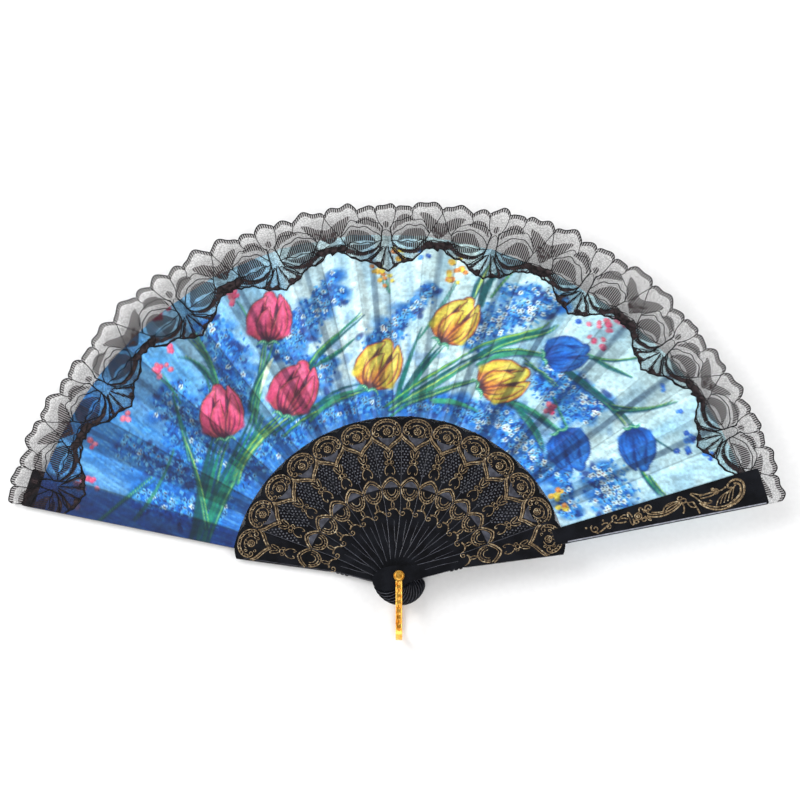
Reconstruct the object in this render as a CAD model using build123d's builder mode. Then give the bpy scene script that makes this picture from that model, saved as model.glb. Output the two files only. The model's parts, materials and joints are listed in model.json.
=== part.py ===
import os
from math import cos, radians, sin

from build123d import *

os.makedirs("parts", exist_ok=True)

# Folding hand fan: two guards and twelve ribs on one rivet, a pleated cloth leaf with a lace
# trim, and a stirrup ring. The fan lies open on its back.
#
# The origin is on the pivot axis, on the flat cap of the rivet that rests on the table. +Z is
# the pivot axis, towards the painted side, and +Y runs up the middle of the leaf. Sticks are
# numbered from 0, the back guard on the left, to 13, the front guard on the right. Each lies
# one layer above the one before, so they slide over each other as the fan shuts to the left.

# Driving dimensions, in millimetres and degrees.
STICK_COUNT = 14
FIRST_ANGLE = 165.5  # direction of the back guard, from +X
PITCHES = [11.8] * 7 + [11.45] * 6  # from one stick's centre line to the next
PANEL_HALF = 2.9375  # half the angle of a panel that is glued to a stick
BACK_TIP_RADIUS = 219.0  # pivot to the back guard's tip
FRONT_TIP_RADIUS = 212.0
TAIL_LENGTH = 15.0  # pivot to the rounded tails, so the closed fan is 234 long
HEAD_RADIUS = 94.6  # top of the scalloped blade
LEAF_INNER = 95.0
LEAF_OUTER = 211.5  # on the left
LEAF_LOSS = 9.3  # the cloth was cut this much shorter on the right
LACE_INNER = 186.0
LACE_OUTER = 228.0

# Blade.
RIB_HALF_ANGLE = 6.1
GUARD_HALF_ANGLE = 6.5
SHOULDER_RADIUS = 92.4  # where the straight flank turns into the round head
FLANK_START = 39.0
NECK_HALF = 3.9
NOTCH_START = 28.0  # three small ridges between the neck and the flank
NOTCH_LENGTH = 2.6
NOTCH_RISE = 0.6
NOTCH_COUNT = 3

# Strip behind the cloth, and the guards' arms.
STRIP_START = 90.0
STRIP_END = 200.0
STRIP_ROOT_HALF = 2.6
STRIP_TIP_HALF = 2.0
ARM_START = 89.0
ARM_CORNER = 1.5
ARM_BEVEL = 0.3

# The stack on the pivot, from the table up.
CAP_THICK = 0.8
RING_THICK = 1.0
SLACK = 0.1
RIB_PLATE = 0.5
GUARD_PLATE = 1.15
ORNAMENT_ROOM = 0.3  # moulded ornament stands this far above a plate
LAYER = RIB_PLATE + ORNAMENT_ROOM + SLACK
RING_REAR_Z = CAP_THICK + SLACK / 2
BACK_GUARD_Z = RING_REAR_Z + RING_THICK + SLACK
FIRST_RIB_Z = BACK_GUARD_Z + GUARD_PLATE + ORNAMENT_ROOM + SLACK
FRONT_GUARD_Z = FIRST_RIB_Z + (STICK_COUNT - 2) * LAYER
RING_FRONT_Z = FRONT_GUARD_Z + GUARD_PLATE + SLACK
RIVET_HEAD_Z = RING_FRONT_Z + RING_THICK + SLACK / 2

# Cloth, counted up from the back of the stick that it is glued to.
STRIP_LIFT = 0.05
STRIP_THICK = 0.3
CLOTH_THICK = 0.12
LACE_THICK = 0.1
LACE_LIFT = CLOTH_THICK + 0.02
FOLD_LIFT = 0.27  # a free fold over the glued panel on its left
ARM_LIFT = 0.27  # the front guard's arm over the panel glued beneath it
FRONT_ARM_THICK = 0.8

# Rivet and ring.
RIVET_RADIUS = 1.5
BORE_RADIUS = 1.56
RIVET_HEAD_RADIUS = 2.4
RIVET_HEAD_THICK = 0.8
RIVET_HEAD_ROUND = 0.6
CAP_RADIUS = 2.7
CAP_ROUND = 0.3
CAP_DEPTH = 0.5  # how far the rivet's tail goes into its cap
EYE_RADIUS = 3.0
RING_WIDTH = 3.6
RING_REACH = 34.5

LAST = STICK_COUNT - 1


def stick_angle(number):
    """Direction of a stick's centre line, from +X."""
    return FIRST_ANGLE - sum(PITCHES[:number])


def leaf_outer(angle):
    """Outer edge of the cloth, which runs in evenly from 125 to 50 degrees."""
    share = min(max((125 - angle) / 75, 0), 1)
    return LEAF_OUTER - LEAF_LOSS * share * share * (3 - 2 * share)


def stick_height(number):
    """Back of a stick's blade."""
    return BACK_GUARD_Z if number == 0 else FIRST_RIB_Z + (number - 1) * LAYER


def cloth_height(number):
    """Underside of the cloth that is glued to a stick."""
    return FIRST_RIB_Z + (number - 1) * LAYER + STRIP_LIFT + STRIP_THICK


def plane_along(angle, height):
    """Level plane whose X axis runs out from the pivot at that angle."""
    turn = radians(angle)
    return Plane(origin=(0, 0, height), x_dir=(cos(turn), sin(turn), 0), z_dir=(0, 0, 1))


def polar(radius, angle):
    """Point at that radius, turned from the stick's centre line."""
    return (radius * cos(radians(angle)), radius * sin(radians(angle)))


def blade_outline(plane, half_angle):
    """Blade: rounded tail, neck, three ridges, straight flank and scalloped head."""
    with BuildSketch(plane) as blade:
        with BuildLine():
            tail = Spline(
                (-TAIL_LENGTH, 0),
                (-12.5, 4.7),
                (-6.5, 6.7),
                (2.0, 5.6),
                (10.0, 4.2),
                tangents=((0, 1), (1, -0.1)),
            )
            edge = (Line(tail @ 1, (NOTCH_START, NECK_HALF))) @ 1
            for _ in range(NOTCH_COUNT):
                crest = edge + Vector(NOTCH_LENGTH / 2, NOTCH_RISE)
                edge = ThreePointArc(edge, crest, edge + Vector(NOTCH_LENGTH, 0)) @ 1
            flank = Polyline(edge, polar(FLANK_START, half_angle), polar(SHOULDER_RADIUS, half_angle))
            quarter = Vector(HEAD_RADIUS - 0.6, (flank @ 1).Y * 0.6)
            ThreePointArc(flank @ 1, quarter, (HEAD_RADIUS, 0))
            mirror(about=Plane.XZ)
        make_face()
    return blade.sketch


def strip_outline(plane):
    """Tapering strip that carries the cloth of a rib."""
    with BuildSketch(plane) as strip:
        with BuildLine():
            start = (STRIP_START, STRIP_ROOT_HALF)
            side = Line(start, (STRIP_END - STRIP_TIP_HALF, STRIP_TIP_HALF))
            ThreePointArc(side @ 1, (STRIP_END, 0), (STRIP_END - STRIP_TIP_HALF, -STRIP_TIP_HALF))
            Polyline((STRIP_END - STRIP_TIP_HALF, -STRIP_TIP_HALF), (start[0], -start[1]), start)
        make_face()
    return strip.sketch


def facet_outline(plane, inner, outer, half_angle=PANEL_HALF):
    """Wedge between two folds of the leaf, cut straight across at both ends."""
    low, high = polar(inner, half_angle), polar(outer, half_angle)
    with BuildSketch(plane) as facet:
        with BuildLine():
            Polyline(low, high, (high[0], -high[1]), (low[0], -low[1]), close=True)
        make_face()
    return facet.sketch


def arm_outline(plane, tip):
    """Arm of a guard: one panel wide, with rounded corners at the tip."""
    with BuildSketch(plane) as arm:
        add(facet_outline(Plane.XY, ARM_START, tip), mode=Mode.ADD)
        fillet(arm.vertices().group_by(Axis.X)[-1], ARM_CORNER)
    return arm.sketch


def save(piece, label):
    """Labels one finished piece and writes it."""
    piece.part.label = label
    export_step(piece.part, f"parts/{label}.step")
    print(f"{label}: {piece.part.volume:.1f} mm3")


# Guards: a carved blade and an arm over, or under, the end of the leaf.
front_arm_z = cloth_height(LAST) + ARM_LIFT
guards = (
    ("back_guard", 0, BACK_TIP_RADIUS, BACK_GUARD_Z, cloth_height(0) - BACK_GUARD_Z),
    ("front_guard", LAST, FRONT_TIP_RADIUS, front_arm_z, FRONT_ARM_THICK),
)
for label, number, tip, arm_z, arm_thick in guards:
    angle, base = stick_angle(number), stick_height(number)
    with BuildPart() as guard:
        extrude(arm_outline(plane_along(angle, arm_z), tip), amount=arm_thick)
        outside = guard.faces().sort_by(Axis.Z)[-1 if number else 0]
        chamfer(outside.edges(), ARM_BEVEL)
        extrude(blade_outline(plane_along(angle, base), GUARD_HALF_ANGLE), amount=GUARD_PLATE)
        with Locations((0, 0, base + GUARD_PLATE)):
            Hole(BORE_RADIUS, GUARD_PLATE)
    save(guard, label)

# Ribs: a carved blade and the strip behind the cloth.
for number in range(1, LAST):
    angle, base = stick_angle(number), stick_height(number)
    with BuildPart() as rib:
        extrude(blade_outline(plane_along(angle, base), RIB_HALF_ANGLE), amount=RIB_PLATE)
        extrude(strip_outline(plane_along(angle, base + STRIP_LIFT)), amount=STRIP_THICK)
        with Locations((0, 0, base + RIB_PLATE)):
            Hole(BORE_RADIUS, RIB_PLATE)
    save(rib, f"rib_{number:02d}")

# Leaf panels glued to a stick, with the lace sewn over each.
for number in range(STICK_COUNT):
    angle, base = stick_angle(number), cloth_height(number)
    with BuildPart() as leaf_panel:
        panel = facet_outline(plane_along(angle, base), LEAF_INNER, leaf_outer(angle))
        extrude(panel, amount=CLOTH_THICK)
    save(leaf_panel, f"leaf_panel_{number:02d}")
    with BuildPart() as lace_panel:
        lace_plane = plane_along(angle, base + LACE_LIFT)
        extrude(facet_outline(lace_plane, LACE_INNER, LACE_OUTER), amount=LACE_THICK)
    save(lace_panel, f"lace_panel_{number:02d}")

# Free facets between one stick and the next, each with its own lace.
for number in range(1, STICK_COUNT):
    pitch, base = PITCHES[number - 1], cloth_height(number - 1) + FOLD_LIFT
    angle, half = stick_angle(number) + pitch / 2, pitch / 2 - PANEL_HALF
    with BuildPart() as leaf_fold:
        fold = facet_outline(plane_along(angle, base), LEAF_INNER, leaf_outer(angle), half)
        extrude(fold, amount=CLOTH_THICK)
        lace_plane = plane_along(angle, base + CLOTH_THICK)
        extrude(facet_outline(lace_plane, LACE_INNER, LACE_OUTER, half), amount=LACE_THICK)
    save(leaf_fold, f"leaf_fold_{number:02d}")

# Rivet: shank and rounded head, closed at the back by a flat cap.
with BuildPart() as rivet:
    with BuildSketch(Plane.XY.offset(CAP_THICK - CAP_DEPTH)):
        Circle(RIVET_RADIUS)
    extrude(amount=RIVET_HEAD_Z - CAP_THICK + CAP_DEPTH)
    with BuildSketch(Plane.XY.offset(RIVET_HEAD_Z)):
        Circle(RIVET_HEAD_RADIUS)
    extrude(amount=RIVET_HEAD_THICK)
    fillet(rivet.edges().group_by(Axis.Z)[-1], RIVET_HEAD_ROUND)
save(rivet, "rivet")

with BuildPart() as rivet_cap:
    with BuildSketch():
        Circle(CAP_RADIUS)
    extrude(amount=CAP_THICK)
    fillet(rivet_cap.edges().group_by(Axis.Z)[0], CAP_ROUND)
    with BuildSketch(Plane.XY.offset(CAP_THICK)):
        Circle(RIVET_RADIUS)
    extrude(amount=-CAP_DEPTH, mode=Mode.SUBTRACT)
save(rivet_cap, "rivet_cap")

# Stirrup ring: a band bent round in a U, with an eye on each side of the stack.
ring_top = RING_FRONT_Z + RING_THICK
bend_radius = (ring_top - RING_REAR_Z) / 2
with BuildPart() as ring:
    with BuildSketch(Plane.YZ):
        with BuildLine():
            outer_back = (bend_radius - RING_REACH, RING_REAR_Z)
            outer_front = (bend_radius - RING_REACH, ring_top)
            outer_foot = (-RING_REACH, RING_REAR_Z + bend_radius)
            Polyline(outer_front, (0, ring_top), (0, RING_FRONT_Z))
            inner_front = (outer_front[0], RING_FRONT_Z)
            inner_back = (outer_back[0], RING_REAR_Z + RING_THICK)
            inner_foot = (RING_THICK - RING_REACH, outer_foot[1])
            Line((0, RING_FRONT_Z), inner_front)
            ThreePointArc(inner_front, inner_foot, inner_back)
            Polyline(inner_back, (0, inner_back[1]), (0, RING_REAR_Z), outer_back)
            ThreePointArc(outer_back, outer_foot, outer_front)
        make_face()
    extrude(amount=RING_WIDTH / 2, both=True)
    for eye_z in (RING_REAR_Z, RING_FRONT_Z):
        with BuildSketch(Plane.XY.offset(eye_z)):
            Circle(EYE_RADIUS)
        extrude(amount=RING_THICK)
    with Locations((0, 0, ring_top)):
        Hole(BORE_RADIUS, ring_top - RING_REAR_Z)
save(ring, "ring")
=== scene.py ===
# Folding hand fan, open on a table: painted leaf, black lace, carved and gilded sticks, brass ring.
import json
import math
import random

import bmesh
import bpy
import numpy as np
from mathutils import Matrix, Vector


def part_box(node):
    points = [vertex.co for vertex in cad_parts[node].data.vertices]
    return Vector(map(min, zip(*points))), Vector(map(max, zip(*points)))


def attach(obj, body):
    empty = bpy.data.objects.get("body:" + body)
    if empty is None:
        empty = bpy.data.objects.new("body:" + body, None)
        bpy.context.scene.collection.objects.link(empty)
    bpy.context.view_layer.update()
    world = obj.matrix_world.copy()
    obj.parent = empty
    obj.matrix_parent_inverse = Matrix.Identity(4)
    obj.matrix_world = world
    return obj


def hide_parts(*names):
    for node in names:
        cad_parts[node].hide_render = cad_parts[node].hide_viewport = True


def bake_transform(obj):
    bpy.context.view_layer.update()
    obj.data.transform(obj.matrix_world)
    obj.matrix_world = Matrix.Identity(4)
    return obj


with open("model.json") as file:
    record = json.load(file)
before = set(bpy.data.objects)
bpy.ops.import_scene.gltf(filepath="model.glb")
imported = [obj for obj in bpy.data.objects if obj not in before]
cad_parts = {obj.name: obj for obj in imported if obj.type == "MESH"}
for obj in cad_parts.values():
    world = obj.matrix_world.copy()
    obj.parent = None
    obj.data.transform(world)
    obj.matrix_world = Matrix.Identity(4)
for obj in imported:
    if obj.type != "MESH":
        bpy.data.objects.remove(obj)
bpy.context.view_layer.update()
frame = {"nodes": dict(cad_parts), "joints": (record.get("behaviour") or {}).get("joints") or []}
nodes = frame["nodes"]
mm = 0.001

# The fan's layout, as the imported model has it. Sticks run from 0, the back guard, to 13, the front guard.
fan = {
    "sticks": 14,
    "firstAngle": 165.5,  # degrees, the back guard's arm
    "leafInner": 95.0,  # mm from the pivot
    "leafOuter": 211.5,
    "leafLoss": 9.3,  # mm that the cloth was cut shorter on the right
    "laceOuter": 228.0,
    "gluedHalf": 2.9375,  # degrees either side of its stick that a glued facet reaches
    "stripHalf": 3.0,  # half width of the flat stretch of cloth that is glued to a stick
    "pleatRise": 0.30,  # mm that the folds stand off each stick more than off the one before
    "pleatMost": 1.7,
    "lift": 0.27,  # mm that a free facet stands off the stick that it leaves
    "uvRadius": 0.16,  # metres from the pivot, where the flat cloth's coordinates are to scale across it
}
lastStick = fan["sticks"] - 1
facetCount = 2 * fan["sticks"] - 1
ranges = {joint["name"]: joint["range_deg"] for joint in frame["joints"]}
turns = [ranges[f"fold_{k:02d}"][1] for k in range(1, fan["sticks"])]
stickAngles = [fan["firstAngle"] - sum(turns[:k]) for k in range(fan["sticks"])]
stickNames = ["back_guard"] + [f"rib_{k:02d}" for k in range(1, lastStick)] + ["front_guard"]
layer = (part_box("rib_02")[0].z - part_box("rib_01")[0].z) / mm
clothZ = [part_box(f"leaf_panel_{k:02d}")[0].z / mm for k in range(fan["sticks"])]


def srgb(code):
    return np.array([int(code[i:i + 2], 16) / 255 for i in (1, 3, 5)])


def tint(code):
    # sRGB hex to linear, with alpha
    return (*(c / 12.92 if c < 0.04045 else ((c + 0.055) / 1.055) ** 2.4 for c in srgb(code)), 1)


def finishMesh(name, bm, materials=(), smooth=True):
    mesh = bpy.data.meshes.new(name)
    bm.to_mesh(mesh)
    bm.free()
    for material in materials:
        mesh.materials.append(material)
    for face in mesh.polygons:
        face.use_smooth = smooth
    piece = bpy.data.objects.new(name, mesh)
    bpy.context.scene.collection.objects.link(piece)
    return piece


def setSockets(tree, node, **sockets):
    # sockets go by name, with _ for a space, or by number as i0, i1; a node stands for its first output
    for key, value in sockets.items():
        numbered = key[0] == "i" and key[1:].isdigit()
        socket = node.inputs[int(key[1:])] if numbered else node.inputs[key.replace("_", " ")]
        if hasattr(value, "outputs"):
            value = value.outputs[0]
        if hasattr(value, "is_output"):
            tree.links.new(value, socket)
        else:
            socket.default_value = value
    return node


def addNode(tree, kind, settings=None, **sockets):
    node = tree.nodes.new("ShaderNode" + kind)
    for key, value in (settings or {}).items():
        setattr(node, key, value)
    return setSockets(tree, node, **sockets)


def newMaterial(name, cloth=False):
    # cloth has its own flat coordinates, everything else the object's
    material = bpy.data.materials.new(name)
    material.use_nodes = True
    tree = material.node_tree
    tree.nodes.clear()
    out = tree.nodes.new("ShaderNodeOutputMaterial")
    shader = tree.nodes.new("ShaderNodeBsdfPrincipled")
    tree.links.new(shader.outputs[0], out.inputs["Surface"])
    place = addNode(tree, "UVMap", {"uv_map": "cloth"}) if cloth else addNode(tree, "TexCoord").outputs["Object"]
    return material, tree, shader, place


def addNoise(tree, place, size, detail=2.0, roughness=0.5):
    # bumps about size mm across
    return addNode(tree, "TexNoise", i0=place, Scale=1 / (size * mm), Detail=detail, Roughness=roughness)


def addRamp(tree, source, *stops):
    node = addNode(tree, "ValToRGB", i0=source)
    ramp = node.color_ramp
    while len(ramp.elements) < len(stops):
        ramp.elements.new(0.5)
    for element, (place, colour) in zip(ramp.elements, stops):
        element.position = place
        element.color = tint(colour) if isinstance(colour, str) else (*colour, 1)
    return node


def addRange(tree, source, low, high, start=0.0, end=1.0):
    # turns start..end into low..high
    return addNode(tree, "MapRange", i0=source, i1=start, i2=end, i3=low, i4=high)


def addBump(tree, source, strength, depth):
    return addNode(tree, "Bump", Strength=strength, Distance=depth * mm, Height=source)


def addWave(tree, place, way, size, distortion):
    # stripes every 1.97 sizes, in mm
    node = addNode(tree, "TexWave", {"bands_direction": way}, i0=place, Scale=1 / (size * mm) / 6.2832,
                   Distortion=distortion)
    return node.outputs[1]


def makeBlackPlastic():
    # injection-moulded polystyrene: near black with a cool tint, wet-looking gloss, faint mould waviness
    material, tree, shader, place = newMaterial("blackPolystyrene")
    blotch = addNoise(tree, place, 9, 3.0)
    setSockets(tree, shader, Base_Color=addRamp(tree, blotch, (0.35, "#08090c"), (0.7, "#14161c")),
               Roughness=addRange(tree, blotch, 0.2, 0.34), Specular_IOR_Level=0.32,
               Normal=addBump(tree, addNoise(tree, place, 1.4), 0.12, 0.1))
    return material


def makeWornGiltWithPaintedGlints():
    # hot-stamped gold foil, rubbed through to the black in patches; its colour is mottled at random from dark brown
    # to pale cream, and the pale cream patches are painted glints of reflected light
    material, tree, shader, place = newMaterial("wornGoldFoilWithPaintedGlints")
    tone = addNoise(tree, place, 1.5, 4.0, 0.7)
    # the brown stops are the foil's own dull tone, the pale cream stop is a painted glint
    colour = addRamp(tree, tone, (0.32, "#33281c"), (0.44, "#6d5a42"), (0.56, "#a58c68"), (0.68, "#f0e2c0"))
    rub = addNoise(tree, place, 0.7)
    bare = addRange(tree, rub, 0.0, 1.0, 0.34, 0.43)
    mixed = addNode(tree, "Mix", {"data_type": "RGBA"}, i0=bare, i6=tint("#14110e"), i7=colour)
    setSockets(tree, shader, Base_Color=mixed.outputs[2],
               Metallic=addNode(tree, "Math", {"operation": "MULTIPLY"}, i0=bare, i1=0.4),
               Roughness=addRange(tree, tone, 0.5, 0.26), Normal=addBump(tree, rub, 0.35, 0.1))
    return material


def makeGiltBrass():
    # gold-plated stamped brass: deep yellow, bright, with fine tumbling scratches
    material, tree, shader, place = newMaterial("goldPlatedBrass")
    tone = addNoise(tree, place, 2.5, 3.0)
    grain = addNoise(tree, place, 0.4)
    setSockets(tree, shader, Base_Color=addRamp(tree, tone, (0.35, "#d98a1e"), (0.62, "#ffce62")),
               Roughness=addRange(tree, grain, 0.18, 0.36), Normal=addBump(tree, grain, 0.2, 0.05), Metallic=0.72)
    return material


def makeReflectionPaintedPlastic(name, dark, light):
    # the same plastic where the mould is polished flat, glossy, with a grey base colour that is a painted
    # reflection of the light it mirrors
    material, tree, shader, place = newMaterial(name)
    setSockets(tree, shader, Base_Color=addRamp(tree, addNoise(tree, place, 3), (0.35, dark), (0.7, light)),
               Roughness=0.16, IOR=1.59)
    return material


def makePrintedSatin(name, fade):
    # polyester satin with a heat-transfer print: the colours are in the cloth, with painted shade of the strips,
    # guard, creases, pleats and folds laid into them, and the floats shine a little.
    # The weave is drawn at 1.4 mm, several times its real pitch, so that it shows. fade is for the reverse.
    material, tree, shader, flat = newMaterial(name, cloth=True)
    # the print attribute holds the printed colours and the painted shade laid into them
    inked = addNode(tree, "Attribute", {"attribute_name": "print"})
    grain = addRange(tree, addNoise(tree, flat, 1.1, 4.0, 0.7), 0.86, 1.13, 0.25, 0.75)
    wash = addRange(tree, addNoise(tree, flat, 14, 4.0), 0.95, 1.06, 0.3, 0.7)
    both = addNode(tree, "Math", {"operation": "MULTIPLY"}, i0=grain, i1=wash)
    scaled = addNode(tree, "VectorMath", {"operation": "SCALE"}, i0=inked.outputs["Color"], Scale=both)
    paled = addNode(tree, "Mix", {"data_type": "RGBA"}, i0=fade, i6=scaled, i7=tint("#dfe6ee"))
    warp, weft = (addWave(tree, flat, way, 0.7, 0.6) for way in "XY")
    weave = addNode(tree, "Math", {"operation": "ADD"}, i0=warp, i1=weft)
    setSockets(tree, shader, Base_Color=paled.outputs[2], Normal=addBump(tree, weave, 0.25, 0.06), Roughness=0.52,
               Sheen_Weight=0.15, Specular_IOR_Level=0.35)
    return material


def makeLaceNet():
    # black nylon net: bobbin net drawn at 1.15 mm, filled with satin stitch where the motif is worked
    material, tree, shader, flat = newMaterial("blackNylonLace", cloth=True)
    work = addNode(tree, "Attribute", {"attribute_name": "stitch"})
    split = addNode(tree, "SeparateColor", i0=work.outputs["Color"])
    holes = addNode(tree, "TexVoronoi", {"feature": "DISTANCE_TO_EDGE"}, i0=flat, Scale=1 / (1.15 * mm))
    thread = addRange(tree, holes.outputs["Distance"], 0.4, 0.08, 0.05, 0.13)
    jitter = addNoise(tree, flat, 2.2)
    rows = addWave(tree, flat, "X", 0.46, 1.2)
    row = addRange(tree, rows, 0.4, 0.98, 0.25, 0.55)
    ragged = addNode(tree, "Math", {"operation": "MULTIPLY_ADD"}, i0=jitter, i1=0.9, i2=-0.45)
    # where open rows of stitches are worked, and where solid ones are
    hatch, solid = (addRange(tree, addNode(tree, "Math", {"operation": "ADD"}, i0=split.outputs[n], i1=ragged),
                             0.0, 1.0, 0.42, 0.58) for n in (0, 1))
    worked = addNode(tree, "Mix", i0=hatch, i2=thread, i3=row)
    setSockets(tree, shader, Base_Color=addRamp(tree, jitter, (0.35, "#120d0e"), (0.7, "#3c3133")),
               Alpha=addNode(tree, "Mix", i0=solid, i2=worked, i3=0.96), Normal=addBump(tree, rows, 0.5, 0.1),
               Roughness=0.7, Specular_IOR_Level=0.15)
    return material


def makeLaceCord():
    # twisted nylon outlining thread: black, matt, with the twist as fine ridges
    material, tree, shader, place = newMaterial("blackNylonCord")
    twist = addNoise(tree, place, 0.5)
    setSockets(tree, shader, Base_Color=addRamp(tree, twist, (0.35, "#08080a"), (0.7, "#1e1e22")),
               Normal=addBump(tree, twist, 0.5, 0.1), Roughness=0.62, Specular_IOR_Level=0.2)
    return material


blackPlastic = makeBlackPlastic()
wornGiltWithPaintedGlints = makeWornGiltWithPaintedGlints()
giltBrass = makeGiltBrass()
# painted reflection: grey stands for light mirrored by polished black plastic; the lighter grey is a painted
# highlight along the guard's edge
reflectionPaintedPlastic = makeReflectionPaintedPlastic("polystyreneWithPaintedReflection", "#34353c", "#50525c")
highlightPaintedEdgePlastic = makeReflectionPaintedPlastic("polystyreneEdgeWithPaintedHighlight", "#7e818c", "#a6a9b4")
satinFront = makePrintedSatin("printedSatin", 0.0)
satinBack = makePrintedSatin("printedSatinReverse", 0.45)
laceNet = makeLaceNet()
laceCord = makeLaceCord()
print("materials ready")


# Facets run from the left: glued, free, glued and so on. A glued facet is flat
# over its stick and slopes down to the right; a free one slopes back up to the next stick.
def smooth(x):
    x = np.clip(x, 0, 1)
    return x * x * (3 - 2 * x)


def pleatHeight(k):
    return min(fan["pleatRise"] * k, fan["pleatRise"] * (lastStick - k), fan["pleatMost"])


def facetSpan(i):
    if i % 2 == 0:
        return stickAngles[i // 2] + fan["gluedHalf"], stickAngles[i // 2] - fan["gluedHalf"]
    return stickAngles[i // 2] - fan["gluedHalf"], stickAngles[i // 2 + 1] + fan["gluedHalf"]


def slope(x, r):
    # flat over the stick and rounded beside it, from -1 to 1 across a facet
    flat = np.minimum(fan["stripHalf"] / (r * math.sin(math.radians(fan["gluedHalf"]))), 0.8)
    return np.sign(x) * smooth((np.abs(x) - flat) / (1 - flat) * 0.75) / 0.84375


def clothHeight(i, t, r):
    # underside of the cloth, in mm: facet i, t across it from the left, r out from the pivot
    swell = r / fan["leafOuter"]
    if i % 2 == 0:
        k = i // 2
        return clothZ[k] + pleatHeight(k) * swell * slope(1 - 2 * t, r)
    k = (i + 1) // 2
    lift = fan["lift"] * smooth(t / 0.15) + (layer - fan["lift"]) * smooth((t - 0.8) / 0.2)
    height = pleatHeight(k - 1) * (1 - t) + pleatHeight(k) * t
    return clothZ[k - 1] + lift + height * swell * slope(2 * t - 1, r)


def clothGrid(name, i, inner, outer, cell, lift, materials):
    # sheet over facet i, between two edges that are functions of the angle in degrees
    left, right = facetSpan(i)
    middle = (left + right) / 2
    columns = max(4, round(math.radians(left - right) * (inner(middle) + outer(middle)) / 2 / cell))
    rows = max(4, round((outer(middle) - inner(middle)) / cell))
    bm = bmesh.new()
    bmesh.ops.create_grid(bm, x_segments=columns, y_segments=rows, size=1)
    uv = bm.loops.layers.uv.new("cloth")
    spots = []
    for vert in bm.verts:
        t, v = (vert.co.x + 1) / 2, (vert.co.y + 1) / 2
        angle = left + (right - left) * t
        r = inner(angle) + (outer(angle) - inner(angle)) * v
        spots.append((angle, r))
        turn = math.radians(angle)
        vert.co = Vector((r * math.cos(turn), r * math.sin(turn), clothHeight(i, t, r) + lift)) * mm
    for face in bm.faces:
        for loop in face.loops:
            angle, r = spots[loop.vert.index]
            loop[uv].uv = (math.radians(90 - angle) * fan["uvRadius"], r * mm)
    bmesh.ops.recalc_face_normals(bm, faces=bm.faces)
    if sum(face.normal.z for face in bm.faces) < 0:
        bmesh.ops.reverse_faces(bm, faces=bm.faces)
    piece = finishMesh(name, bm, materials)
    return piece, np.array(spots)


def facetName(kind, i):
    return f"{kind}Glued_{i // 2:02d}" if i % 2 == 0 else f"{kind}Free_{(i + 1) // 2:02d}"


def holdFacet(piece, i):
    # a glued facet rides on its stick; a free one stays put, its placement baked into its mesh
    if i % 2 == 0:
        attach(piece, stickNames[i // 2])
        return
    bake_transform(piece)


def paintPoints(piece, name, colours):
    layer = piece.data.color_attributes.new(name, "FLOAT_COLOR", "POINT")
    layer.data.foreach_set("color", np.c_[colours, np.ones(len(colours))].ravel())


def newCanvas(x, y, channels, cell=8.0):
    cells = {}
    keys = np.stack([np.floor(x / cell), np.floor(y / cell)], 1).astype(int)
    order = np.lexsort((keys[:, 1], keys[:, 0]))
    keys = keys[order]
    breaks = np.nonzero(np.any(np.diff(keys, axis=0), axis=1))[0] + 1
    for block in np.split(np.arange(len(x)), breaks):
        cells[tuple(keys[block[0]])] = order[block]
    return {"x": x, "y": y, "ink": np.zeros((len(x), channels)), "cells": cells, "cell": cell}


def spotsNear(canvas, x0, x1, y0, y1):
    size, found = canvas["cell"], []
    for a in range(math.floor(x0 / size), math.floor(x1 / size) + 1):
        for b in range(math.floor(y0 / size), math.floor(y1 / size) + 1):
            if (a, b) in canvas["cells"]:
                found.append(canvas["cells"][(a, b)])
    return np.concatenate(found) if found else np.zeros(0, int)


def layInk(canvas, index, amount, ink):
    old = canvas["ink"][index]
    canvas["ink"][index] = old + (ink - old) * amount[:, None]


def dab(canvas, x, y, rx, ry, ink, turn=0.0, amount=1.0, soft=0.4):
    # an oval touch of the brush, in mm
    reach = max(rx, ry) * (1 + soft)
    index = spotsNear(canvas, x - reach, x + reach, y - reach, y + reach)
    if not len(index):
        return
    dx, dy = canvas["x"][index] - x, canvas["y"][index] - y
    c, s = math.cos(turn), math.sin(turn)
    d = np.hypot((dx * c + dy * s) / rx, (dy * c - dx * s) / ry)
    layInk(canvas, index, amount * np.clip((1 - d) / soft + 0.5, 0, 1), ink)


def bend(points, count=24):
    # Bezier curve through its end points
    t = np.linspace(0, 1, count)[:, None]
    level = [np.repeat(np.array([p], float), count, 0) for p in points]
    while len(level) > 1:
        level = [a + (b - a) * t for a, b in zip(level, level[1:])]
    return level[0]


def brush(canvas, points, widths, ink, amount=1.0, soft=0.7, ink2=None):
    # stroke along a Bezier curve; widths are half widths, spread evenly along it
    line = bend(points)
    reach = max(widths) + soft
    low, high = line.min(0) - reach, line.max(0) + reach
    index = spotsNear(canvas, low[0], high[0], low[1], high[1])
    if not len(index):
        return
    spot = np.stack([canvas["x"][index], canvas["y"][index]], 1)
    a, step = line[:-1], np.diff(line, axis=0)
    rel = spot[:, None, :] - a[None]
    along = np.clip((rel * step).sum(2) / np.maximum((step ** 2).sum(1), 1e-9), 0, 1)
    gap = np.linalg.norm(rel - along[:, :, None] * step, axis=2)
    best = gap.argmin(1)
    t = (best + along[np.arange(len(best)), best]) / len(step)
    width = np.interp(t, np.linspace(0, 1, len(widths)), widths)
    cover = amount * np.clip((width - gap.min(1)) / soft + 0.5, 0, 1)
    if ink2 is None:
        layInk(canvas, index, cover, ink)
    else:
        layInk(canvas, index, cover, ink + (ink2 - ink) * t[:, None])


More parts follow.
